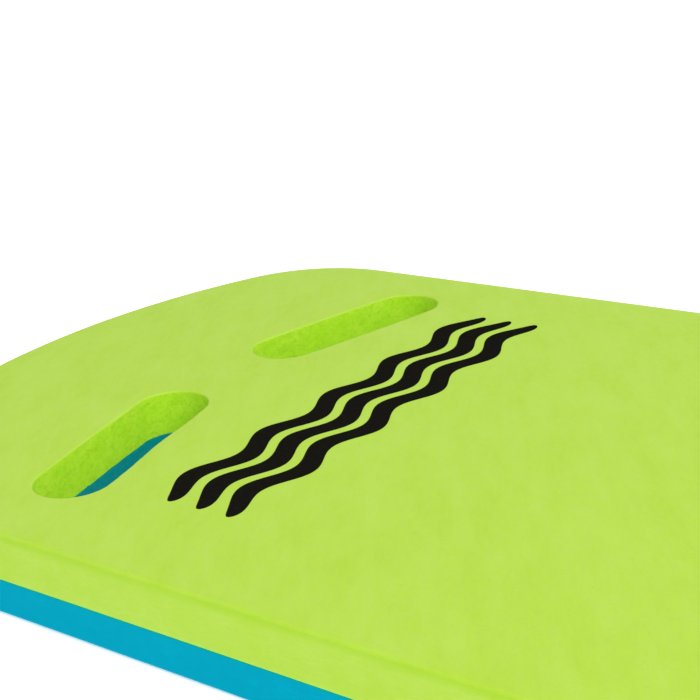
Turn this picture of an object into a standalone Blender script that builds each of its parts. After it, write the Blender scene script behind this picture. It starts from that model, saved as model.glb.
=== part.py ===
"""Kickboard float, a swimmer's training float laminated from two slabs of closed-cell EVA foam.

A thick deck slab and a thinner base slab are bonded face to face and die-cut together, so that
they share one outline: an arched nose, straight parallel sides and a shallow hollow in the tail.
Two slanting hand slots go right through both slabs. Three wavy bands of ink are printed on the deck.

Metres, +Z up. +Y points to the nose, X = 0 is the plane of symmetry, and the origin is the centre
of the board's length and width, on the face that it lies on.
"""

import math

import bmesh
import bpy
from mathutils import Vector

# The board in plan
BOARD_LENGTH = 0.440
BOARD_WIDTH = 0.285
NOSE_RADIUS = 0.260
NOSE_CORNER_RADIUS = 0.056
TAIL_CORNER_RADIUS = 0.034
TAIL_HOLLOW_DEPTH = 0.020

# The laminate, from the floor up
BASE_THICKNESS = 0.0126
BOND_THICKNESS = 0.0003
LAY_UP_GAP = 0.0003  # between each face of the bond film and its slab
BOARD_THICKNESS = 0.0304

# Rounded rims, where the cut edge meets a moulded skin
OUTER_RIM_RADIUS = 0.0014
SLOT_RIM_RADIUS = 0.0008
BOND_SETBACK = 0.0010  # how far the bond film stops short of every cut edge

# Hand slots: round-ended with slightly bowed sides, mirrored about X = 0, outer ends nearer the tail
SLOT_LENGTH = 0.0965
SLOT_WIDTH = 0.0290  # at the middle of its length
SLOT_END_RADIUS = 0.0140
SLOT_TILT = math.radians(13.2)
SLOT_CENTRE_X = 0.0688
SLOT_CENTRE_FROM_NOSE = 0.1092

# Ink bands: one wave repeated down the board
PRINT_WIDTH = 0.200
PRINT_CENTRE_FROM_NOSE = 0.1678
PRINT_THICKNESS = 0.0002
PRINT_GAP = 0.0003  # between the ink film and the deck's skin
WAVE_COUNT = 5  # crests in a band
WAVE_HEIGHT = 0.0032  # from the band's middle line to a crest
BAND_WIDTH = 0.0082
BAND_PITCH = 0.0124
BAND_TIP_SHARE = 0.08  # the share of the print's width over which each end tapers
BAND_BLUNTNESS = 0.14  # the width of a band's very end, as a share of its full width
BAND_NAMES = ("print_wave_upper", "print_wave_middle", "print_wave_lower")

# Fineness of the faceted shapes
DEGREES_PER_SEGMENT = 6.0
LARGE_ARC_DEGREES_PER_SEGMENT = 3.0
RIM_SEGMENTS = 3
BAND_SEGMENTS = 80
SHARP_ANGLE = math.radians(35)

NOSE_TIP_Y = BOARD_LENGTH / 2
TAIL_Y = -BOARD_LENGTH / 2
HALF_WIDTH = BOARD_WIDTH / 2
BOND_BOTTOM_Z = BASE_THICKNESS + LAY_UP_GAP
DECK_BOTTOM_Z = BOND_BOTTOM_Z + BOND_THICKNESS + LAY_UP_GAP


def clear_scene():
    """Removes every object that the file opened with."""
    for obj in list(bpy.data.objects):
        bpy.data.objects.remove(obj, do_unlink=True)


def plain_material(name, colour, roughness):
    """A material of one colour."""
    material = bpy.data.materials.new(name)
    material.use_nodes = True
    shader = material.node_tree.nodes["Principled BSDF"]
    shader.inputs["Base Color"].default_value = (*colour, 1.0)
    shader.inputs["Roughness"].default_value = roughness
    shader.inputs["Metallic"].default_value = 0.0
    return material


def arc(centre, radius, start, end, degrees_per_segment=DEGREES_PER_SEGMENT):
    """(point, unit vector from the centre) along a circle from one angle to another, both included."""
    count = max(2, math.ceil(abs(math.degrees(end - start)) / degrees_per_segment))
    found = []
    for step in range(count + 1):
        angle = start + (end - start) * step / count
        outward = Vector((math.cos(angle), math.sin(angle)))
        found.append((Vector(centre) + radius * outward, outward))
    return found


def nose_half():
    """The right half of the nose: its large arc from the tip, then the corner down to the side."""
    arc_centre = Vector((0.0, NOSE_TIP_Y - NOSE_RADIUS))
    corner_x = HALF_WIDTH - NOSE_CORNER_RADIUS
    reach = NOSE_RADIUS - NOSE_CORNER_RADIUS  # the corner's circle touches the nose arc from inside
    corner = Vector((corner_x, arc_centre.y + math.sqrt(reach**2 - corner_x**2)))
    touch = math.atan2(corner.y - arc_centre.y, corner.x - arc_centre.x)
    nose = arc(arc_centre, NOSE_RADIUS, math.pi / 2, touch, LARGE_ARC_DEGREES_PER_SEGMENT)
    return nose + arc(corner, NOSE_CORNER_RADIUS, touch, 0.0)[1:]


def tail_half():
    """The right half of the tail: its corner from the side, then the hollow's arc to X = 0."""
    corner = Vector((HALF_WIDTH - TAIL_CORNER_RADIUS, TAIL_Y + TAIL_CORNER_RADIUS))
    reach = (TAIL_HOLLOW_DEPTH**2 + corner.x**2) / (2 * TAIL_HOLLOW_DEPTH)  # between the two centres
    hollow_radius = reach - TAIL_CORNER_RADIUS
    hollow_centre = Vector((0.0, TAIL_Y + TAIL_HOLLOW_DEPTH - hollow_radius))
    touch = math.atan2(hollow_centre.y - corner.y, hollow_centre.x - corner.x)
    from_hollow = touch + math.pi
    hollow = arc(hollow_centre, hollow_radius, from_hollow, math.pi / 2, LARGE_ARC_DEGREES_PER_SEGMENT)
    inward = [(point, -outward) for point, outward in hollow[1:]]  # the board lies outside this circle
    rear = -math.pi / 2  # where the corner reaches furthest back
    to_rear = arc(corner, TAIL_CORNER_RADIUS, 0.0, rear)
    return to_rear + arc(corner, TAIL_CORNER_RADIUS, rear, touch)[1:] + inward


def board_outline():
    """(point, outward normal) round the whole board, once, clockwise from the nose tip."""
    right = nose_half() + tail_half()
    left = [(Vector((-point.x, point.y)), Vector((-out.x, out.y))) for point, out in right[-2:0:-1]]
    return right + left


def slot_outline(side):
    """(point, normal into the foam) round one hand slot; side is 1 for +X and -1 for -X."""
    end_x = SLOT_LENGTH / 2 - SLOT_END_RADIUS
    half_width = SLOT_WIDTH / 2
    bow = half_width - SLOT_END_RADIUS
    side_radius = (end_x**2 + half_width**2 - SLOT_END_RADIUS**2) / (2 * bow)
    side_centre_y = side_radius - half_width  # below the slot's middle line for its upper side
    touch = math.atan2(side_centre_y, end_x)
    level = arc((end_x, 0.0), SLOT_END_RADIUS, -touch, touch)[:-1]
    level += arc((0.0, -side_centre_y), side_radius, touch, math.pi - touch)[:-1]
    level += arc((-end_x, 0.0), SLOT_END_RADIUS, math.pi - touch, math.pi + touch)[:-1]
    level += arc((0.0, side_centre_y), side_radius, math.pi + touch, 2 * math.pi - touch)[:-1]
    centre = Vector((side * SLOT_CENTRE_X, NOSE_TIP_Y - SLOT_CENTRE_FROM_NOSE))
    cos_tilt = math.cos(-side * SLOT_TILT)
    sin_tilt = math.sin(-side * SLOT_TILT)

    def turned(vector):
        return Vector((vector.x * cos_tilt - vector.y * sin_tilt, vector.x * sin_tilt + vector.y * cos_tilt))

    return [(centre + turned(point), turned(outward)) for point, outward in level]


def edge_profile(low, high, low_rim, high_rim):
    """(inset from the cut edge, height) up a slab's edge, with a quarter-round rim where one is given."""
    profile = []
    if low_rim:
        for step in range(RIM_SEGMENTS):
            angle = math.pi / 2 * step / RIM_SEGMENTS
            profile.append((low_rim * (1 - math.sin(angle)), low + low_rim * (1 - math.cos(angle))))
    profile.append((0.0, low + low_rim))
    profile.append((0.0, high - high_rim))
    if high_rim:
        for step in range(1, RIM_SEGMENTS + 1):
            angle = math.pi / 2 * step / RIM_SEGMENTS
            profile.append((high_rim * (1 - math.cos(angle)), high - high_rim * (1 - math.sin(angle))))
    return profile


def add_wall(mesh, contour, profile, into_foam):
    """Adds the wall that follows one contour, and returns its lowest and highest rings of edges."""
    rings = []
    for inset, height in profile:
        ring = []
        for point, normal in contour:
            place = point + normal * (inset * into_foam)
            ring.append(mesh.verts.new((place.x, place.y, height)))
        rings.append(ring)
    count = len(contour)
    for lower, upper in zip(rings, rings[1:]):
        for index in range(count):
            after = (index + 1) % count
            mesh.faces.new((lower[index], lower[after], upper[after], upper[index]))
    ends = []
    for ring in (rings[0], rings[-1]):
        ends.append([mesh.edges.get((ring[index], ring[(index + 1) % count])) for index in range(count)])
    return ends


def make_object(name, mesh, material):
    """Turns a bmesh into a named object with its faces pointing out."""
    bmesh.ops.recalc_face_normals(mesh, faces=mesh.faces)
    data = bpy.data.meshes.new(name)
    mesh.to_mesh(data)
    mesh.free()
    data.shade_smooth()
    data.set_sharp_from_angle(angle=SHARP_ANGLE)
    data.materials.append(material)
    obj = bpy.data.objects.new(name, data)
    bpy.context.scene.collection.objects.link(obj)
    return obj


def make_layer(name, low, high, material, setback=0.0, low_rims=(0.0, 0.0), high_rims=(0.0, 0.0)):
    """One layer of the laminate, with both slots through it. Rims are given as (outer, slot)."""
    mesh = bmesh.new()
    low_edges, high_edges = [], []
    outer, slot = range(2)
    contours = [(board_outline(), -1, outer), (slot_outline(1), 1, slot), (slot_outline(-1), 1, slot)]
    for contour, into_foam, kind in contours:
        profile = edge_profile(low, high, low_rims[kind], high_rims[kind])
        profile = [(inset + setback, height) for inset, height in profile]
        low_end, high_end = add_wall(mesh, contour, profile, into_foam)
        low_edges += low_end
        high_edges += high_end
    for edges in (low_edges, high_edges):
        bmesh.ops.triangle_fill(mesh, use_beauty=True, edges=edges)
    return make_object(name, mesh, material)


def band_half_width(share):
    """Half the band's width at this share of its length, narrowing to a blunt point at each end."""
    from_end = min(share, 1 - share) / BAND_TIP_SHARE
    taper = math.sqrt(1 - (1 - min(1.0, from_end)) ** 2)
    return BAND_WIDTH / 2 * max(BAND_BLUNTNESS, taper)


def make_band(name, centre_y, material):
    """One printed band: a flat film whose middle line is a cosine with a crest at X = 0."""
    low = BOARD_THICKNESS + PRINT_GAP
    upper_side, lower_side = [], []
    for step in range(BAND_SEGMENTS + 1):
        share = step / BAND_SEGMENTS
        x = (share - 0.5) * PRINT_WIDTH
        phase = 2 * math.pi * WAVE_COUNT * (share - 0.5)
        middle = centre_y + WAVE_HEIGHT * math.cos(phase)
        upper_side.append((x, middle + band_half_width(share)))
        lower_side.append((x, middle - band_half_width(share)))
    mesh = bmesh.new()
    rows = []
    for side in (upper_side, lower_side):
        for height in (low, low + PRINT_THICKNESS):
            rows.append([mesh.verts.new((x, y, height)) for x, y in side])
    upper_low, upper_high, lower_low, lower_high = rows
    around = (upper_low, upper_high, lower_high, lower_low)
    for index in range(BAND_SEGMENTS):
        for first, second in zip(around, around[1:] + around[:1]):
            mesh.faces.new((first[index], first[index + 1], second[index + 1], second[index]))
    for end in (0, -1):
        mesh.faces.new([row[end] for row in around])
    return make_object(name, mesh, material)


def make_board():
    """Builds the laminate and the print."""
    lime = plain_material("lime_foam", (0.45, 0.70, 0.04), 0.62)
    blue = plain_material("blue_foam", (0.0, 0.35, 0.52), 0.62)
    glue = plain_material("contact_adhesive", (0.72, 0.66, 0.42), 0.40)
    ink = plain_material("black_ink", (0.009, 0.008, 0.007), 0.60)
    make_layer(
        "base_foam",
        0.0,
        BASE_THICKNESS,
        blue,
        low_rims=(OUTER_RIM_RADIUS, SLOT_RIM_RADIUS),
    )
    make_layer("bond_film", BOND_BOTTOM_Z, BOND_BOTTOM_Z + BOND_THICKNESS, glue, setback=BOND_SETBACK)
    make_layer(
        "deck_foam",
        DECK_BOTTOM_Z,
        BOARD_THICKNESS,
        lime,
        high_rims=(OUTER_RIM_RADIUS, SLOT_RIM_RADIUS),
    )
    print_centre_y = NOSE_TIP_Y - PRINT_CENTRE_FROM_NOSE
    for place, name in enumerate(BAND_NAMES):
        make_band(name, print_centre_y + (1 - place) * BAND_PITCH, ink)


clear_scene()
make_board()
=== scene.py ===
"""The looks of the kickboard float: two bonded slabs of closed-cell EVA foam with a printed deck.

Each slab is built here again as a fine mesh: soft die-cut rims, a skin that is drawn down at every
cut, torn-cell walls in the hand slots and a seam that is ragged there. Metres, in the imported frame:
+Y to the nose, +Z up out of the deck. The slabs' heights and the board's size come from the frame.
"""

import math
from collections import namedtuple

import bmesh
import bpy
import numpy as np
from mathutils import Matrix, Vector, noise
from mathutils.geometry import delaunay_2d_cdt


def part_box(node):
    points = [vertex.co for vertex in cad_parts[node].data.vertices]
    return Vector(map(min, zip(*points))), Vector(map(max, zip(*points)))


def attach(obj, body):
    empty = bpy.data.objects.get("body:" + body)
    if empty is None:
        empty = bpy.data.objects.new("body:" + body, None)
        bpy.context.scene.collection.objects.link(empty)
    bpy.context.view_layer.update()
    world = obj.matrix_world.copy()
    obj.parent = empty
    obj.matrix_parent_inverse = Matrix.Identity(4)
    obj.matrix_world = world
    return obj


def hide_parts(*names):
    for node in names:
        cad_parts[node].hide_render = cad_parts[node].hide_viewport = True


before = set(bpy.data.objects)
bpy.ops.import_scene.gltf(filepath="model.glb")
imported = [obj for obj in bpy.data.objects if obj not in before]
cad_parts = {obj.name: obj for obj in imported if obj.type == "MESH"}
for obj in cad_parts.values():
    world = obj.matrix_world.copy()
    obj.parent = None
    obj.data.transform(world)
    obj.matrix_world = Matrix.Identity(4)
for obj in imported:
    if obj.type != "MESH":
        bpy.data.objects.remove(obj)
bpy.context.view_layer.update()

MM = 0.001

# An unevenness of a shape: how deep it is, the length over which it varies, and its seed
Ripple = namedtuple("Ripple", "depth length seed")

# A noise in a material. size is a length, or lengths across its heading, along it and up
Grain = namedtuple("Grain", "size detail rough heading", defaults=(0.5, 0.0))

# A slab's colours, all linear, and its gloss. The skin drifts between colour and flush. Along the
# outer rim a darker line is painted as shade. At the seam the other slab's colour runs in, with
# painted shade in the seam's crease. The edge is painted darker than the skin, as shade. The slot
# walls have the cut foam's colour with painted light in it: lifted on the lime, darkened and greened
# on the blue as shade and green bounce light. They have pale patches, and pits painted dark as shade
Foam = namedtuple(
    "Foam",
    "colour flush pressed stained cut cut_pale cut_pit cut_stained edge_shade gloss edge_gloss",
)

# The board in plan, as the solids have it
BASE_LOW, BASE_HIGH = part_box("base_foam")
DECK_LOW, DECK_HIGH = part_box("deck_foam")
NOSE_TIP_Y = DECK_HIGH.y
TAIL_Y = DECK_LOW.y
HALF_WIDTH = DECK_HIGH.x
SEAM_Z = (BASE_HIGH.z + DECK_LOW.z) / 2
NOSE_RADIUS = 260 * MM
NOSE_CORNER_RADIUS = 56 * MM
TAIL_CORNER_RADIUS = 34 * MM
TAIL_HOLLOW_DEPTH = 20 * MM
OUTER_RIM_RADIUS = 1.4 * MM

# Hand slots
SLOT_LENGTH = 96.5 * MM
SLOT_WIDTH = 29 * MM
SLOT_END_RADIUS = 14 * MM
SLOT_RIM_RADIUS = 0.8 * MM
SLOT_TILT = math.radians(13.2)
SLOT_CENTRE = Vector((68.8 * MM, NOSE_TIP_Y - 109.2 * MM))

# Printed waves: one cosine repeated down the board, narrowing to blunt points
WAVE_COUNT = 5
WAVE_HEIGHT = 3.2 * MM  # from the band's middle line to a crest
BAND_WIDTH = 8.2 * MM
BAND_TIP_SHARE = 0.08  # the share of a band's length over which each end narrows
BAND_BLUNTNESS = 0.14  # the width of a band's very end, as a share of its full width
BAND_STEPS = 400
BAND_ROWS = 5
INK_THICKNESS = 0.04 * MM  # above the skin
INK_SINK = 0.03 * MM  # and below it
INK_SHARP_ANGLE = math.radians(40)

# Fineness of the meshes
OUTER_STEP = 1.6 * MM
OUTER_ROW = 1.3 * MM
SLOT_STEP = 0.6 * MM
SLOT_ROW = 0.6 * MM
RIM_SEGMENTS = 6
SKIN_STEP = 5.0 * MM
SKIN_MARGIN = 6.5 * MM  # from the even grid of the skin to the nearest rim
OUTER_SKIN_ROWS = ((2.2 * MM, 1),)  # (inset past OUTER_RIM_RADIUS, one point in so many)
SLOT_SKIN_ROWS = ((1.1 * MM, 2), (3.0 * MM, 4))

# Seam between the slabs
SEAM_CLEARANCE = 0.01 * MM  # from each slab to the seam's plane
SEAM_ROUND = 0.18 * MM  # the small round-over beside it
SEAM_ROUND_MIDDLE = 0.3 * SEAM_ROUND  # the round-over's middle point, from both of its faces
SEAM_BORDER = 0.85 * MM  # how far in the slabs meet before the bond film begins
BOND_RECESS = 0.20 * MM  # how deep each slab is hollowed for the film
BOND_RECESS_RUN = 0.1 * MM  # how far in that takes
SEAM_TINT_AND_SHADE_RUN = 0.45 * MM  # how far from the seam the two colours run into each other, with painted shade in the seam's crease
SEAM_REACH = 2.5 * MM  # how far up a wall the seam's wandering is felt
OUTER_SEAM = Ripple(0.04 * MM, 14 * MM, 3.0)
SLOT_SEAM = Ripple(0.16 * MM, 5 * MM, 8.0)
SLOT_SEAM_FRAY = Ripple(0.08 * MM, 1.6 * MM, 2.0)
SEAM_NICK = Ripple(1.1 * MM, 2.6 * MM, 6.4)
SEAM_NICK_START = 0.36  # the share of a nick's depth that doesn't show

# Unevenness of the foam
SKIN_SWELL = Ripple(0.10 * MM, 42 * MM, 11.3)
SKIN_DIMPLE = Ripple(0.025 * MM, 9 * MM, 5.1)
EDGE_SWELL = Ripple(0.10 * MM, 36 * MM, 4.2)
CUT_SWELL = Ripple(0.22 * MM, 17 * MM, 9.9)
CUT_TEAR = Ripple(0.16 * MM, 3.4 * MM, 7.7)
CUT_CELL = Ripple(0.08 * MM, 1.2 * MM, 40.0)
RIM_DIP = 0.15 * MM  # how far the skin is drawn down at a rim
RIM_DIP_REACH = 3.2 * MM
EDGE_HOLLOW = 0.16 * MM  # how far the cut edge is hollowed between its seam and its skin
SLOT_RIM_HOLD = 0.45  # how much of the slot wall's unevenness its rim is spared
SEED_RISE = 0.7  # a ripple's seed shifts it up by this share of its shift sideways
RIM_SHADE_PLACE = 1.7 * MM  # where the painted shade along the outer rim is darkest, past its corner
RIM_SHADE_SPREAD = 1.6 * MM
LIP = 1.4 * MM  # the left slot's tail side has sprung back further than the rest
LIP_PLACE = Vector((-67 * MM, NOSE_TIP_Y - 124 * MM))
LIP_REACH = 16 * MM

# The camera, in the frame
CAMERA_PLACE = Vector((-0.4040, -0.2460, 0.2301))
CAMERA_HEADING = math.radians(52.96)  # from +Y towards +X
CAMERA_DOWN = math.radians(19.64)
CAMERA_ROLL = math.radians(-4.39)
CAMERA_LENS = 74.74
CAMERA_SENSOR = 36
CAMERA_NEAR = 0.01

# The light
SURROUND_LOW = 1.0  # near the horizon
SURROUND_HIGH = 0.50  # overhead
SURROUND_FADE = (0.30, 0.80)  # the sines of the heights between which it fades
KEY_PLACE = Vector((-0.50, -1.25, 1.35))
KEY_SIZE = 1.5
KEY_ENERGY = 23.0
FLOOR_GLOW = 0.36  # the floor is a lit sweep
FLOOR_HALF_SIZE = 12.0
FLOOR_SQUARES = 4  # along each side
FLOOR_GAP = 0.2 * MM  # from the floor to the base slab's solid

# Colours
LIME = Foam(
    colour=(0.448, 0.700, 0.034),
    flush=(0.472, 0.715, 0.068),
    # a darker, more saturated line painted along the outer rim as shade
    pressed=(0.336, 0.583, 0.0),
    # the blue run in at the seam, with painted shade of the seam's crease
    stained=(0.30, 0.72, 0.13),
    # the cut colours are lifted a little above the skin's: painted light for the light inside the
    # slots
    cut=(0.42, 0.75, 0.020),
    cut_pale=(0.49, 0.79, 0.038),
    # pits and tears painted dark as shade
    cut_pit=(0.33, 0.61, 0.016),
    # the blue run in at the seam, with painted shade of the seam's crease
    cut_stained=(0.30, 0.72, 0.13),
    # the edge painted darker than the skin, as shade on the sides
    edge_shade=0.90,
    gloss=0.5,
    edge_gloss=0.45,
)
BLUE = Foam(
    colour=(0.0, 0.346, 0.500),
    flush=(0.0, 0.362, 0.525),
    # a darker line painted along the outer rim as shade
    pressed=(0.0, 0.325, 0.475),
    # darker teal at the seam: the lime run in, and painted shade of the seam's crease
    stained=(0.0, 0.33, 0.24),
    # the cut colours are darkened and greened: painted shade and green bounce light at the slots'
    # bottom
    cut=(0.0, 0.26, 0.33),
    cut_pale=(0.0, 0.28, 0.35),
    # pits and tears painted dark as shade
    cut_pit=(0.0, 0.18, 0.25),
    # darker teal at the seam: the lime run in, and painted shade of the seam's crease
    cut_stained=(0.0, 0.27, 0.24),
    # the edge painted darker than the skin, as shade on the sides
    edge_shade=0.94,
    gloss=0.01,
    edge_gloss=0.01,
)
BLOTCH_SHADE = 0.965  # this and the shades below are shares of the foam's colour
STREAK_SHADE = 1.035
PORE_SHADE = 0.90
EDGE_CLOUD_SHADE = 0.98
EDGE_DRAWN_SHADE = 0.95
CUT_ROUGHNESS = 0.9
CUT_GLOSS = 0.1
INK = (0.0085, 0.0080, 0.0065)
INK_THIN = (0.016, 0.017, 0.009)
INK_GLOSS = 0.0
ADHESIVE = (0.62, 0.55, 0.30)
ADHESIVE_PALE = (0.75, 0.70, 0.48)
ADHESIVE_ROUGHNESS = 0.4
FLOOR_PAINT = (0.955, 0.955, 0.955)
FLOOR_PAINT_PALE = (0.965, 0.965, 0.965)
FLOOR_ROUGHNESS = 0.9
WHITE = (1.0, 1.0, 1.0, 1.0)

# Grains of the materials
SHEET_HEADING = math.radians(58)  # from +Y towards +X: the way the foam sheet was drawn and sliced
SKIN_BLOTCH = Grain((9 * MM, 30 * MM, 13 * MM), 5.0, 0.6, SHEET_HEADING)
SKIN_STREAK = Grain((1.9 * MM, 6.5 * MM, 2.6 * MM), 4.0, 0.65, SHEET_HEADING)
SKIN_PORE = Grain(0.9 * MM, 2.0)
SKIN_SHEEN = Grain(6 * MM, 3.0)
SKIN_DENT = Grain(3.2 * MM, 3.0, 0.55)
SKIN_FINE = Grain(0.5 * MM, 2.0)
SKIN_CELL = 0.9 * MM
SKIN_CELL_SMOOTHNESS = 0.6
# how the painted shade along the outer rim varies along it
RIM_SHADE_PATCH = Grain(13 * MM, 3.0)
EDGE_CLOUD = Grain(11 * MM, 5.0, 0.6)
EDGE_DRAWN = Grain((3.2 * MM, 3.2 * MM, 0.7 * MM), 3.0, 0.6)
EDGE_PORE = Grain(0.8 * MM, 2.0)
EDGE_SHEEN = Grain(4 * MM, 3.0)
EDGE_FINE = Grain(0.45 * MM, 2.0)
TORN_PATCH = Grain(8 * MM, 4.0, 0.6)
TORN_SHRED = Grain((3.6 * MM, 1.3 * MM, 2.0 * MM), 3.0, 0.65)
TORN_FLECK = Grain(1.9 * MM, 3.0, 0.6)
TORN_CELL = 0.6 * MM
INK_PATCH = Grain(1.2 * MM, 3.0, 0.6)
INK_SHEEN = Grain(2.5 * MM, 3.0)
INK_FINE = Grain(0.5 * MM, 2.0)
ADHESIVE_STREAK = Grain((6 * MM, 40 * MM, 6 * MM), 4.0, 0.6)
FLOOR_CLOUD = Grain(0.4, 2.0)
NOISE_BULK = (0.3, 0.7)  # the levels between which most of a noise lies

SKIN, EDGE, CUT = range(3)  # material slots of a slab
DISTANCE_BATCH = 500  # points measured at a time
CAP_TOLERANCE = 1e-7  # below which the caps' points would be merged
CAP_OUTPUT = 0  # ask for triangles over the rings' whole convex hull
MIX_FIRST, MIX_SECOND, MIX_RESULT = 6, 7, 2  # the colour sockets of a Mix node


def make_camera():
    """The camera, turned by its heading, its fall and its roll."""
    data = bpy.data.cameras.new("camera")
    data.lens = CAMERA_LENS
    data.sensor_width = CAMERA_SENSOR
    data.clip_start = CAMERA_NEAR
    camera = bpy.data.objects.new("camera", data)
    bpy.context.scene.collection.objects.link(camera)
    turn = (
        Matrix.Rotation(-CAMERA_HEADING, 4, "Z")
        @ Matrix.Rotation(math.pi / 2 - CAMERA_DOWN, 4, "X")
        @ Matrix.Rotation(CAMERA_ROLL, 4, "Z")
    )
    camera.matrix_world = Matrix.Translation(CAMERA_PLACE) @ turn
    bpy.context.scene.camera = camera


# Contours: (points, unit normals that point out of the foam), as two arrays


def arc(centre, radius, start, end, step):
    """Points along a circle no further than step apart, without the last, and the normals there."""
    count = max(2, math.ceil(radius * abs(end - start) / step))
    angle = np.linspace(start, end, count, endpoint=False)
    outward = np.column_stack((np.cos(angle), np.sin(angle)))
    return np.array(centre[:2]) + radius * outward, outward


def straight(start, end, outward, step):
    """Points along a straight line, without the last, and the normals there."""
    start, end = np.array(start[:2]), np.array(end[:2])
    count = max(2, math.ceil(np.linalg.norm(end - start) / step))
    share = np.linspace(0.0, 1.0, count, endpoint=False)[:, None]
    return start + share * (end - start), np.tile(np.array(outward, float), (count, 1))


def joined(runs):
    """One contour from several runs."""
    return np.vstack([run[0] for run in runs]), np.vstack([run[1] for run in runs])


def board_contour(step):
    """The board's outline, clockwise from the nose tip."""
    nose_centre = Vector((0.0, NOSE_TIP_Y - NOSE_RADIUS))
    corner_x = HALF_WIDTH - NOSE_CORNER_RADIUS
    nose_reach = NOSE_RADIUS - NOSE_CORNER_RADIUS
    nose_corner = Vector((corner_x, nose_centre.y + math.sqrt(nose_reach**2 - corner_x**2)))
    nose_touch = math.atan2(nose_corner.y - nose_centre.y, corner_x)
    tail_corner = Vector((HALF_WIDTH - TAIL_CORNER_RADIUS, TAIL_Y + TAIL_CORNER_RADIUS))
    tail_reach = (TAIL_HOLLOW_DEPTH**2 + tail_corner.x**2) / (2 * TAIL_HOLLOW_DEPTH)
    hollow_radius = tail_reach - TAIL_CORNER_RADIUS
    hollow_centre = Vector((0.0, TAIL_Y + TAIL_HOLLOW_DEPTH - hollow_radius))
    tail_touch = math.atan2(hollow_centre.y - tail_corner.y, -tail_corner.x)
    hollow_points, hollow_out = arc(
        hollow_centre, hollow_radius, tail_touch + math.pi, -tail_touch, step
    )
    side_top = (HALF_WIDTH, nose_corner.y)
    side_end = (HALF_WIDTH, tail_corner.y)
    right = [
        arc(nose_corner, NOSE_CORNER_RADIUS, nose_touch, 0.0, step),
        straight(side_top, side_end, (1.0, 0.0), step),
        arc(tail_corner, TAIL_CORNER_RADIUS, 0.0, tail_touch, step),
    ]
    left_tail = Vector((-tail_corner.x, tail_corner.y))
    left_nose = Vector((-nose_corner.x, nose_corner.y))
    left = [
        arc(left_tail, TAIL_CORNER_RADIUS, math.pi - tail_touch, math.pi, step),
        straight((-HALF_WIDTH, tail_corner.y), (-HALF_WIDTH, nose_corner.y), (-1.0, 0.0), step),
        arc(left_nose, NOSE_CORNER_RADIUS, math.pi, math.pi - nose_touch, step),
    ]
    nose = arc(nose_centre, NOSE_RADIUS, math.pi - nose_touch, nose_touch, step)
    return joined([*right, (hollow_points, -hollow_out), *left, nose])


def slot_contour(side, step):
    """The outline of the hand slot at +X (side 1) or -X (side -1)."""
    end_x = SLOT_LENGTH / 2 - SLOT_END_RADIUS
    half_width = SLOT_WIDTH / 2
    bow = half_width - SLOT_END_RADIUS
    side_radius = (end_x**2 + half_width**2 - SLOT_END_RADIUS**2) / (2 * bow)
    drop = side_radius - half_width
    touch = math.atan2(drop, end_x)
    turn = math.pi
    points, outward = joined(
        [
            arc((end_x, 0.0), SLOT_END_RADIUS, -touch, touch, step),
            arc((0.0, -drop), side_radius, touch, turn - touch, step),
            arc((-end_x, 0.0), SLOT_END_RADIUS, turn - touch, turn + touch, step),
            arc((0.0, drop), side_radius, turn + touch, 2 * turn - touch, step),
        ]
    )
    tilt = -side * SLOT_TILT
    spin = np.array([[math.cos(tilt), math.sin(tilt)], [-math.sin(tilt), math.cos(tilt)]])
    centre = np.array((side * SLOT_CENTRE.x, SLOT_CENTRE.y))
    return points @ spin + centre, -(outward @ spin)


def inside(points, contour):
    """True for each point that lies inside a closed contour."""
    found = np.zeros(len(points), bool)
    for (ax, ay), (bx, by) in zip(contour, np.roll(contour, -1, axis=0)):
        if ay == by:
            continue
        spans = (ay > points[:, 1]) != (by > points[:, 1])
        crossing = ax + (points[:, 1] - ay) * (bx - ax) / (by - ay)
        found ^= spans & (points[:, 0] < crossing)
    return found


def distance_to(points, contours):
    """How far each point is from the nearest contour point."""
    best = np.full(len(points), np.inf)
    for contour in contours:
        for start in range(0, len(points), DISTANCE_BATCH):
            batch = slice(start, start + DISTANCE_BATCH)
            apart = points[batch][:, None, :] - contour[None, :, :]
            best[batch] = np.minimum(best[batch], np.linalg.norm(apart, axis=2).min(axis=1))
    return best


# Unevenness


def height_of(ripple, x, y, z=0.0):
    """How far a ripple stands out at this place, from minus its depth to its depth."""
    length, seed = ripple.length, ripple.seed
    place = Vector((x / length + seed, y / length - seed, z / length + SEED_RISE * seed))
    return ripple.depth * noise.noise(place)


def skin_swell(x, y):
    """How far the moulded skin stands off its plane."""
    return height_of(SKIN_SWELL, x, y) + height_of(SKIN_DIMPLE, x, y)


def rim_dip(distance):
    """How far the skin is drawn down at this distance from a rim."""
    return RIM_DIP * math.exp(-((distance / RIM_DIP_REACH) ** 2))


def seam_offset(x, y, is_slot):
    """How far the seam wanders from its plane: little at the outer edge, raggedly in the slots."""
    if not is_slot:
        return height_of(OUTER_SEAM, x, y)
    nick = height_of(SEAM_NICK, x, y) - SEAM_NICK_START * SEAM_NICK.depth
    return height_of(SLOT_SEAM, x, y) + height_of(SLOT_SEAM_FRAY, x, y) + max(0.0, nick)


def wall_offset(x, y, z, share, is_slot):
    """How far a wall stands out at this place; share runs from the seam, 0, to the skin, 1."""
    if is_slot:
        return sum(height_of(ripple, x, y, z) for ripple in (CUT_SWELL, CUT_TEAR, CUT_CELL))
    hollow = EDGE_HOLLOW * math.sin(math.pi * min(1.0, max(0.0, share)))
    return height_of(EDGE_SWELL, x, y, z) - hollow


# Slabs


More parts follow.
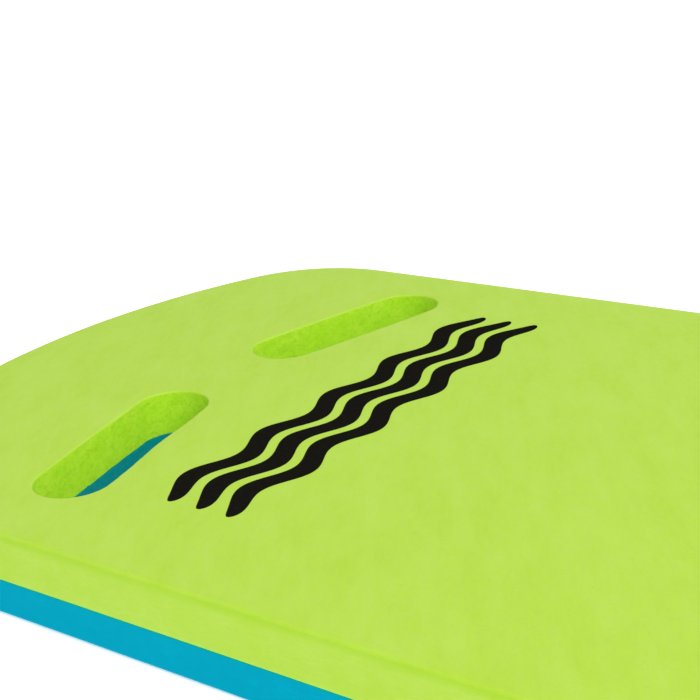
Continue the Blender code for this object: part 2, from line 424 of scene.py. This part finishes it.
def wall_profile(height, rim_radius, row):
    """(inset, height from the seam's plane, hold) up a wall from the bond film to the skin.

    hold is None on the seam and the wall, and on the rim it is the share of the skin's own shape.
    """
    low = SEAM_CLEARANCE + SEAM_ROUND + SEAM_TINT_AND_SHADE_RUN
    rows = [
        (SEAM_BORDER + BOND_RECESS_RUN, BOND_RECESS, None),
        (SEAM_BORDER, SEAM_CLEARANCE, None),
        (SEAM_ROUND, SEAM_CLEARANCE, None),
        (SEAM_ROUND_MIDDLE, SEAM_CLEARANCE + SEAM_ROUND_MIDDLE, None),
        (0.0, SEAM_CLEARANCE + SEAM_ROUND, None),
        (0.0, low, None),
    ]
    high = height - rim_radius
    count = math.ceil((high - low) / row)
    rows += [(0.0, low + (high - low) * step / count, None) for step in range(1, count + 1)]
    for step in range(1, RIM_SEGMENTS + 1):
        angle = math.pi / 2 * step / RIM_SEGMENTS
        inset = rim_radius * (1 - math.cos(angle))
        rows.append((inset, high + rim_radius * math.sin(angle), math.sin(angle)))
    return rows


def rim_shade_at(inset, depth):
    """How much painted shade the outer rim gets, from 0 to 1, this far in and down from its corner.
    """
    return math.exp(-(((depth - inset - RIM_SHADE_PLACE) / RIM_SHADE_SPREAD) ** 2))


def seam_tint_and_shade_at(rise):
    """How much of the other slab's colour, with painted shade of the seam's crease, shows at this
    height from the seam, from 0 to 1.
    """
    return max(0.0, 1 - max(0.0, rise - SEAM_ROUND) / SEAM_TINT_AND_SHADE_RUN)


def lip_at(x, y):
    """How far the deck's lip stands into the left slot here."""
    gap = math.hypot(x - LIP_PLACE.x, y - LIP_PLACE.y)
    return LIP * math.exp(-((gap / LIP_REACH) ** 2))


def make_wall(contour, profile, height, way, is_slot):
    """The wall's points, row by row; way is 1 for the slab above the seam and -1 for the other."""
    points, out = contour
    made = np.zeros((len(profile), len(points), 3))
    for index, ((x, y), (out_x, out_y)) in enumerate(zip(points, out)):
        seam = seam_offset(x, y, is_slot)
        skin = skin_swell(x, y) * way - rim_dip(0.0)
        for row, (inset, rise, hold) in enumerate(profile):
            push = wall_offset(x, y, way * rise, rise / height, is_slot)
            near_seam = max(0.0, 1 - rise / SEAM_REACH)
            if hold is not None:
                push *= 1 - hold * (SLOT_RIM_HOLD if is_slot else 1)
                rise += hold * skin
            if way > 0 and is_slot:
                push += lip_at(x, y) * max(0.0, min(1.0, rise / height))
            offset = push - inset
            wander = seam * near_seam**2 if inset <= SEAM_BORDER else 0.0
            z = SEAM_Z + way * rise + wander
            made[row, index] = (x + out_x * offset, y + out_y * offset, z)
    return made


def skin_points(contours):
    """Points to carry the skin between the rims: rows beside each rim and an even grid within."""
    rows = []
    for is_slot, (points, out) in contours:
        for inset, every in SLOT_SKIN_ROWS if is_slot else OUTER_SKIN_ROWS:
            rows.append((points - out * (inset + OUTER_RIM_RADIUS))[::every])
    across = np.arange(-HALF_WIDTH, HALF_WIDTH, SKIN_STEP)
    up = np.arange(TAIL_Y, NOSE_TIP_Y, SKIN_STEP * math.sqrt(3) / 2)
    grid = [(x + (SKIN_STEP / 2 if n % 2 else 0.0), y) for n, y in enumerate(up) for x in across]
    grid = np.array(grid)
    outlines = [points for _, (points, _) in contours]
    held = inside(grid, outlines[0]) & (distance_to(grid, outlines) > SKIN_MARGIN)
    for hole in outlines[1:]:
        held &= ~inside(grid, hole)
    return np.vstack([*rows, grid[held]])


def fill_cap(rings, loose):
    """Triangles between closed rings of 2-D points, the first of them the outer one."""
    points = np.vstack([*rings, loose]) if len(loose) else np.vstack(rings)
    edges, start = [], 0
    for ring in rings:
        count = len(ring)
        edges += [(start + n, start + (n + 1) % count) for n in range(count)]
        start += count
    places = [Vector(point) for point in points]
    made = delaunay_2d_cdt(places, edges, [], CAP_OUTPUT, CAP_TOLERANCE, True)
    found, _, faces, origins, _, _ = made
    if len(found) != len(points):
        raise ValueError("the cap's rings cross or touch")
    at = [origin[0] for origin in origins]
    triangles = np.array([[at[corner] for corner in face] for face in faces])
    middle = points[triangles].mean(axis=1)
    kept = inside(middle, rings[0])
    for hole in rings[1:]:
        kept &= ~inside(middle, hole)
    return triangles[kept]


def make_slab(name, height, way, materials):
    """A whole slab: its outer wall, both slot walls, the skin and the face at the bond film."""
    contours = [
        (False, board_contour(OUTER_STEP)),
        (True, slot_contour(1, SLOT_STEP)),
        (True, slot_contour(-1, SLOT_STEP)),
    ]
    verts, faces, kinds, press, stain = [], [], [], [], []
    first_rings, last_rings, first_index, last_index = [], [], [], []
    for is_slot, contour in contours:
        rim = SLOT_RIM_RADIUS if is_slot else OUTER_RIM_RADIUS
        profile = wall_profile(height, rim, SLOT_ROW if is_slot else OUTER_ROW)
        rows = make_wall(contour, profile, height, way, is_slot)
        base = sum(len(v) for v in verts)
        count = rows.shape[1]
        verts.append(rows.reshape(-1, 3))
        for inset, rise, _ in profile:
            # how much painted shade each row of the outer rim gets
            press += [0.0 if is_slot else rim_shade_at(inset, height - rise)] * count
            # how much of the other slab's colour and of the painted seam shade each row gets
            stain += [seam_tint_and_shade_at(rise)] * count
        for row in range(len(profile) - 1):
            low, high = base + row * count, base + (row + 1) * count
            kind = SKIN if profile[row + 1][2] is not None else (CUT if is_slot else EDGE)
            for index in range(count):
                after = (index + 1) % count
                faces.append((low + index, low + after, high + after, high + index))
                kinds.append(kind)
        first_rings.append(rows[0, :, :2])
        last_rings.append(rows[-1, :, :2])
        first_index.append(base + np.arange(count))
        last_index.append(base + (len(profile) - 1) * count + np.arange(count))

    loose = skin_points(contours)
    reach = distance_to(loose, last_rings)
    loose_z = [
        SEAM_Z + way * (height - rim_dip(gap)) + skin_swell(x, y)
        for (x, y), gap in zip(loose, reach)
    ]
    base = sum(len(v) for v in verts)
    verts.append(np.column_stack((loose, loose_z)))
    indices = np.concatenate([*last_index, base + np.arange(len(loose))])
    skin = indices[fill_cap(last_rings, loose)]
    bond = np.concatenate(first_index)[fill_cap(first_rings, [])]
    faces += [tuple(face) for face in skin] + [tuple(face) for face in bond]
    kinds += [SKIN] * len(skin) + [EDGE] * len(bond)
    slab = make_piece(name, np.vstack(verts), faces, kinds, materials)
    for title, values in (("press", press), ("stain", stain)):
        values += [0.0] * len(loose)
        slab.data.attributes.new(title, "FLOAT", "POINT").data.foreach_set("value", values)
    return slab


def make_piece(name, verts, faces, kinds, materials):
    """A named, smooth, closed mesh with its faces pointing out."""
    data = bpy.data.meshes.new(name)
    data.from_pydata([tuple(v) for v in verts], [], [tuple(int(i) for i in face) for face in faces])
    for material in materials:
        data.materials.append(material)
    data.polygons.foreach_set("material_index", np.array(kinds, np.int32))
    mesh = bmesh.new()
    mesh.from_mesh(data)
    bmesh.ops.recalc_face_normals(mesh, faces=mesh.faces)
    mesh.to_mesh(data)
    mesh.free()
    data.shade_smooth()
    piece = bpy.data.objects.new(name, data)
    bpy.context.scene.collection.objects.link(piece)
    return piece


# Print


def band_half_width(share):
    """Half the band's width at this share of its length, narrowing to a blunt point at each end."""
    from_end = min(share, 1 - share) / BAND_TIP_SHARE
    taper = math.sqrt(1 - (1 - min(1.0, from_end)) ** 2)
    return BAND_WIDTH / 2 * max(BAND_BLUNTNESS, taper)


def make_ink(node, material):
    """One printed band, laid on the skin over the solid of this name."""
    low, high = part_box(node)
    middle_y = (low.y + high.y) / 2
    top, bottom = [], []
    for step in range(BAND_STEPS + 1):
        share = step / BAND_STEPS
        x = low.x + share * (high.x - low.x)
        y = middle_y + WAVE_HEIGHT * math.cos(2 * math.pi * WAVE_COUNT * (share - 0.5))
        for row in range(BAND_ROWS):
            across = 2 * row / (BAND_ROWS - 1) - 1
            place_y = y + across * band_half_width(share)
            skin = DECK_HIGH.z + skin_swell(x, place_y)
            top.append((x, place_y, skin + INK_THICKNESS))
            bottom.append((x, place_y, skin - INK_SINK))
    under = len(top)
    faces = []
    for step in range(BAND_STEPS):
        start = step * BAND_ROWS
        for a in range(start, start + BAND_ROWS - 1):
            b = a + BAND_ROWS
            faces.append((a, b, b + 1, a + 1))
            faces.append((under + a, under + a + 1, under + b + 1, under + b))
        for a in (start, start + BAND_ROWS - 1):
            b = a + BAND_ROWS
            faces.append((a, b, under + b, under + a))
    for start in (0, BAND_STEPS * BAND_ROWS):
        for a in range(start, start + BAND_ROWS - 1):
            faces.append((a, a + 1, under + a + 1, under + a))
    name = node.replace("print_wave", "ink_wave")
    piece = make_piece(name, top + bottom, faces, [0] * len(faces), [material])
    piece.data.set_sharp_from_angle(angle=INK_SHARP_ANGLE)
    return piece


# Materials


class Nodes:
    """Short calls for building a material's node tree."""

    def __init__(self, name):
        self.material = bpy.data.materials.new(name)
        self.material.use_nodes = True
        self.tree = self.material.node_tree
        self.shader = self.tree.nodes["Principled BSDF"]
        self.place = self.add("ShaderNodeTexCoord").outputs["Object"]

    def add(self, kind, **settings):
        """A new node with these settings."""
        node = self.tree.nodes.new(kind)
        for key, value in settings.items():
            setattr(node, key, value)
        return node

    def link(self, source, target):
        """Joins an output to an input."""
        self.tree.links.new(source, target)

    def stretched(self, lengths, heading):
        """The object's coordinates, turned to a heading and each divided by its own length."""
        mapping = self.add("ShaderNodeMapping", vector_type="TEXTURE")
        mapping.inputs["Rotation"].default_value = (0.0, 0.0, -heading)
        mapping.inputs["Scale"].default_value = lengths
        self.link(self.place, mapping.inputs["Vector"])
        return mapping.outputs["Vector"]

    def noise(self, grain):
        """Noise of this grain, from 0 to 1."""
        is_stretched = isinstance(grain.size, tuple)
        place = self.stretched(grain.size, grain.heading) if is_stretched else self.place
        node = self.add("ShaderNodeTexNoise")
        node.inputs["Scale"].default_value = 1.0 if is_stretched else 1 / grain.size
        node.inputs["Detail"].default_value = grain.detail
        node.inputs["Roughness"].default_value = grain.rough
        self.link(place, node.inputs["Vector"])
        return node.outputs["Fac"]

    def cells(self, size, smoothness=0.0):
        """How far it is to the middle of the nearest cell, for cells of this size."""
        node = self.add("ShaderNodeTexVoronoi", feature="SMOOTH_F1" if smoothness else "F1")
        node.inputs["Scale"].default_value = 1 / size
        if smoothness:
            node.inputs["Smoothness"].default_value = smoothness
        self.link(self.place, node.inputs["Vector"])
        return node.outputs["Distance"]

    def attribute(self, name):
        """A number stored at the mesh's points."""
        return self.add("ShaderNodeAttribute", attribute_name=name).outputs["Fac"]

    def ramp(self, value, start, end, least=0.0, most=1.0):
        """least where value is up to start, most where it is past end, and even in between."""
        node = self.add("ShaderNodeMapRange")
        for key, number in (
            ("From Min", start),
            ("From Max", end),
            ("To Min", least),
            ("To Max", most),
        ):
            node.inputs[key].default_value = number
        self.link(value, node.inputs["Value"])
        return node.outputs["Result"]

    def mix(self, factor, first, second):
        """One colour or the other by a factor; each may be a colour or another node's output."""
        node = self.add("ShaderNodeMix", data_type="RGBA")
        self.link(factor, node.inputs["Factor"])
        for socket, colour in ((MIX_FIRST, first), (MIX_SECOND, second)):
            if isinstance(colour, tuple):
                node.inputs[socket].default_value = (*colour, 1.0)
            else:
                self.link(colour, node.inputs[socket])
        return node.outputs[MIX_RESULT]

    def blend(self, value, first, second, start, end, most=1.0):
        """The first colour, and from start to end more and more of the second, up to most."""
        return self.mix(self.ramp(value, start, end, most=most), first, second)

    def press(self, tone, pressed):
        """Painted shade along the rim over tone, uneven along the rim."""
        uneven = self.ramp(self.noise(RIM_SHADE_PATCH), *NOISE_BULK, least=0.65)
        return self.mix(self.attribute("press"), tone, self.mix(uneven, tone, pressed))

    def bump(self, height, depth, strength, below=None):
        """A bump of this depth, over another bump if one is given."""
        node = self.add("ShaderNodeBump")
        node.inputs["Strength"].default_value = strength
        node.inputs["Distance"].default_value = depth
        self.link(height, node.inputs["Height"])
        if below is not None:
            self.link(below, node.inputs["Normal"])
        return node.outputs["Normal"]

    def paint(self, tone):
        """Gives the surface a colour."""
        self.link(tone, self.shader.inputs["Base Color"])

    def emboss(self, bumped):
        """Gives the surface a bump."""
        self.link(bumped, self.shader.inputs["Normal"])

    def sheen(self, grain, least, most):
        """Gives the surface a roughness that varies with a grain."""
        rough = self.ramp(self.noise(grain), *NOISE_BULK, least=least, most=most)
        self.link(rough, self.shader.inputs["Roughness"])

    def set(self, socket, value):
        """Gives one of the shader's sockets a value that is the same all over."""
        self.shader.inputs[socket].default_value = value


def shade(colour, factor):
    """A colour made lighter or darker."""
    return tuple(min(1.0, channel * factor) for channel in colour)


def skin_material(name, foam):
    """The matt moulded skin: faint blotches, streaks, fine grain and cells just under it."""
    nodes = Nodes(name)
    dark = shade(foam.colour, BLOTCH_SHADE)
    tone = nodes.blend(nodes.noise(SKIN_BLOTCH), dark, foam.flush, start=0.34, end=0.66)
    light = shade(foam.colour, STREAK_SHADE)
    tone = nodes.blend(nodes.noise(SKIN_STREAK), tone, light, start=0.36, end=0.66, most=0.6)
    pore = shade(foam.colour, PORE_SHADE)
    tone = nodes.blend(nodes.noise(SKIN_PORE), tone, pore, start=0.60, end=0.74, most=0.55)
    # The darker line along the outer rim is painted shade
    nodes.paint(nodes.press(tone, foam.pressed))
    nodes.sheen(SKIN_SHEEN, least=0.58, most=0.68)
    nodes.set("Specular IOR Level", foam.gloss)
    fine = nodes.bump(nodes.noise(SKIN_FINE), depth=0.05 * MM, strength=0.55)
    cells = nodes.cells(SKIN_CELL, SKIN_CELL_SMOOTHNESS)
    pebbled = nodes.bump(cells, depth=0.06 * MM, strength=0.5, below=fine)
    nodes.emboss(nodes.bump(nodes.noise(SKIN_DENT), depth=0.10 * MM, strength=0.5, below=pebbled))
    return nodes.material


def edge_material(name, foam):
    """The die-cut outer edge: smooth, painted darker than the skin as shade, with a fine grain drawn
    along the cut.
    """
    nodes = Nodes(name)
    # The edge is the skin's colour painted darker, as shade on the sides
    colour = shade(foam.colour, foam.edge_shade)
    flush = shade(foam.flush, foam.edge_shade)
    dark = shade(colour, EDGE_CLOUD_SHADE)
    tone = nodes.blend(nodes.noise(EDGE_CLOUD), dark, flush, start=0.34, end=0.66)
    drawn = nodes.noise(EDGE_DRAWN)
    dark = shade(colour, EDGE_DRAWN_SHADE)
    tone = nodes.blend(drawn, tone, dark, start=0.35, end=0.65, most=0.6)
    pore = shade(colour, PORE_SHADE)
    tone = nodes.blend(nodes.noise(EDGE_PORE), tone, pore, start=0.60, end=0.74, most=0.5)
    # The darker line along the outer rim is painted shade
    tone = nodes.press(tone, foam.pressed)
    # At the seam the other slab's colour runs in, with painted shade in the crease
    nodes.paint(nodes.mix(nodes.attribute("stain"), tone, foam.stained))
    nodes.sheen(EDGE_SHEEN, least=0.60, most=0.72)
    nodes.set("Specular IOR Level", foam.edge_gloss)
    fine = nodes.bump(nodes.noise(EDGE_FINE), depth=0.05 * MM, strength=0.5)
    nodes.emboss(nodes.bump(drawn, depth=0.06 * MM, strength=0.5, below=fine))
    return nodes.material


def cut_material(name, foam):
    """The torn walls of the slots: open cells whose pits and short tears are painted dark as shade,
    and uneven patches.
    """
    nodes = Nodes(name)
    # The pit colour, laid into tears, flecks and cells, is painted shade
    pit_shade = foam.cut_pit
    # The walls' colours carry painted light: lifted on the lime, darkened and greened as shade on the
    # blue
    tone = nodes.blend(nodes.noise(TORN_PATCH), foam.cut, foam.cut_pale, start=0.36, end=0.64)
    shred = nodes.noise(TORN_SHRED)
    tone = nodes.blend(shred, tone, pit_shade, start=0.50, end=0.70, most=0.6)
    tone = nodes.blend(nodes.noise(TORN_FLECK), tone, pit_shade, start=0.55, end=0.75, most=0.6)
    cells = nodes.cells(TORN_CELL)
    tone = nodes.blend(cells, tone, pit_shade, start=0.35, end=0.95, most=0.4)
    # At the seam the other slab's colour runs in, with painted shade in the crease
    nodes.paint(nodes.mix(nodes.attribute("stain"), tone, foam.cut_stained))
    nodes.set("Roughness", CUT_ROUGHNESS)
    nodes.set("Specular IOR Level", CUT_GLOSS)
    torn = nodes.bump(shred, depth=0.20 * MM, strength=0.7)
    nodes.emboss(nodes.bump(cells, depth=0.10 * MM, strength=0.6, below=torn))
    return nodes.material


def foam_materials(name, foam):
    """A slab's materials, in the order of SKIN, EDGE and CUT."""
    return [
        skin_material(f"{name}_skin", foam),
        edge_material(f"{name}_edge", foam),
        cut_material(f"{name}_cut", foam),
    ]


def ink_material():
    """Black screen-printing ink, through which the foam's grain shows."""
    nodes = Nodes("ink_black")
    nodes.paint(nodes.blend(nodes.noise(INK_PATCH), INK, INK_THIN, start=0.45, end=0.80, most=0.6))
    nodes.sheen(INK_SHEEN, least=0.50, most=0.66)
    nodes.set("Specular IOR Level", INK_GLOSS)
    nodes.emboss(nodes.bump(nodes.noise(INK_FINE), depth=0.04 * MM, strength=0.6))
    return nodes.material


def bond_material():
    """The dried adhesive between the slabs: amber, a little streaky."""
    nodes = Nodes("bond_adhesive")
    streak = nodes.noise(ADHESIVE_STREAK)
    nodes.paint(nodes.blend(streak, ADHESIVE, ADHESIVE_PALE, *NOISE_BULK))
    nodes.set("Roughness", ADHESIVE_ROUGHNESS)
    nodes.emboss(nodes.bump(streak, depth=0.05 * MM, strength=0.5))
    return nodes.material


# Studio


def make_surround():
    """An even pale surround, brightest at the horizon."""
    world = bpy.data.worlds.new("surround")
    world.use_nodes = True
    tree = world.node_tree
    background = tree.nodes["Background"]
    direction = tree.nodes.new("ShaderNodeTexCoord")
    height = tree.nodes.new("ShaderNodeSeparateXYZ")
    fade = tree.nodes.new("ShaderNodeMapRange")
    fade.inputs["From Min"].default_value = SURROUND_FADE[0]
    fade.inputs["From Max"].default_value = SURROUND_FADE[1]
    fade.inputs["To Min"].default_value = SURROUND_LOW
    fade.inputs["To Max"].default_value = SURROUND_HIGH
    tree.links.new(direction.outputs["Generated"], height.inputs["Vector"])
    tree.links.new(height.outputs["Z"], fade.inputs["Value"])
    tree.links.new(fade.outputs["Result"], background.inputs["Strength"])
    background.inputs["Color"].default_value = WHITE
    bpy.context.scene.world = world


def make_softbox(name, place, size, energy):
    """A square soft light that faces the middle of the board."""
    lamp = bpy.data.lights.new(name, "AREA")
    lamp.size = size
    lamp.energy = energy
    light = bpy.data.objects.new(name, lamp)
    bpy.context.scene.collection.objects.link(light)
    light.location = place
    light.rotation_euler = (-light.location).to_track_quat("-Z", "Y").to_euler()


def make_floor():
    """A plain pale floor just under the board."""
    nodes = Nodes("floor_paint")
    cloud = nodes.noise(FLOOR_CLOUD)
    nodes.paint(nodes.blend(cloud, FLOOR_PAINT, FLOOR_PAINT_PALE, *NOISE_BULK))
    nodes.set("Roughness", FLOOR_ROUGHNESS)
    nodes.set("Emission Color", WHITE)
    nodes.set("Emission Strength", FLOOR_GLOW)
    data = bpy.data.meshes.new("floor")
    mesh = bmesh.new()
    bmesh.ops.create_grid(
        mesh, x_segments=FLOOR_SQUARES, y_segments=FLOOR_SQUARES, size=FLOOR_HALF_SIZE
    )
    mesh.to_mesh(data)
    mesh.free()
    data.materials.append(nodes.material)
    floor = bpy.data.objects.new("floor", data)
    floor.location.z = BASE_LOW.z - FLOOR_GAP
    bpy.context.scene.collection.objects.link(floor)


def make_studio():
    """A pale floor, a pale surround and a large soft light from beyond the tail."""
    bpy.context.scene.view_settings.view_transform = "Standard"
    make_surround()
    make_softbox("key", KEY_PLACE, KEY_SIZE, KEY_ENERGY)
    make_floor()


def make_board():
    """The slabs, the bond film and the print; the slabs and the print go on the board's one body."""
    deck = make_slab("deck_slab", DECK_HIGH.z - SEAM_Z, 1, foam_materials("lime", LIME))
    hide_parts("deck_foam")
    base = make_slab("base_slab", SEAM_Z - BASE_LOW.z, -1, foam_materials("blue", BLUE))
    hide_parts("base_foam")
    for slab in (deck, base):
        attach(slab, "root")

    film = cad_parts["bond_film"]
    film.data.materials.clear()
    film.data.materials.append(bond_material())

    ink = ink_material()
    for node in ("print_wave_upper", "print_wave_middle", "print_wave_lower"):
        band = make_ink(node, ink)
        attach(band, "root")
        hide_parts(node)


make_camera()
make_board()
make_studio()
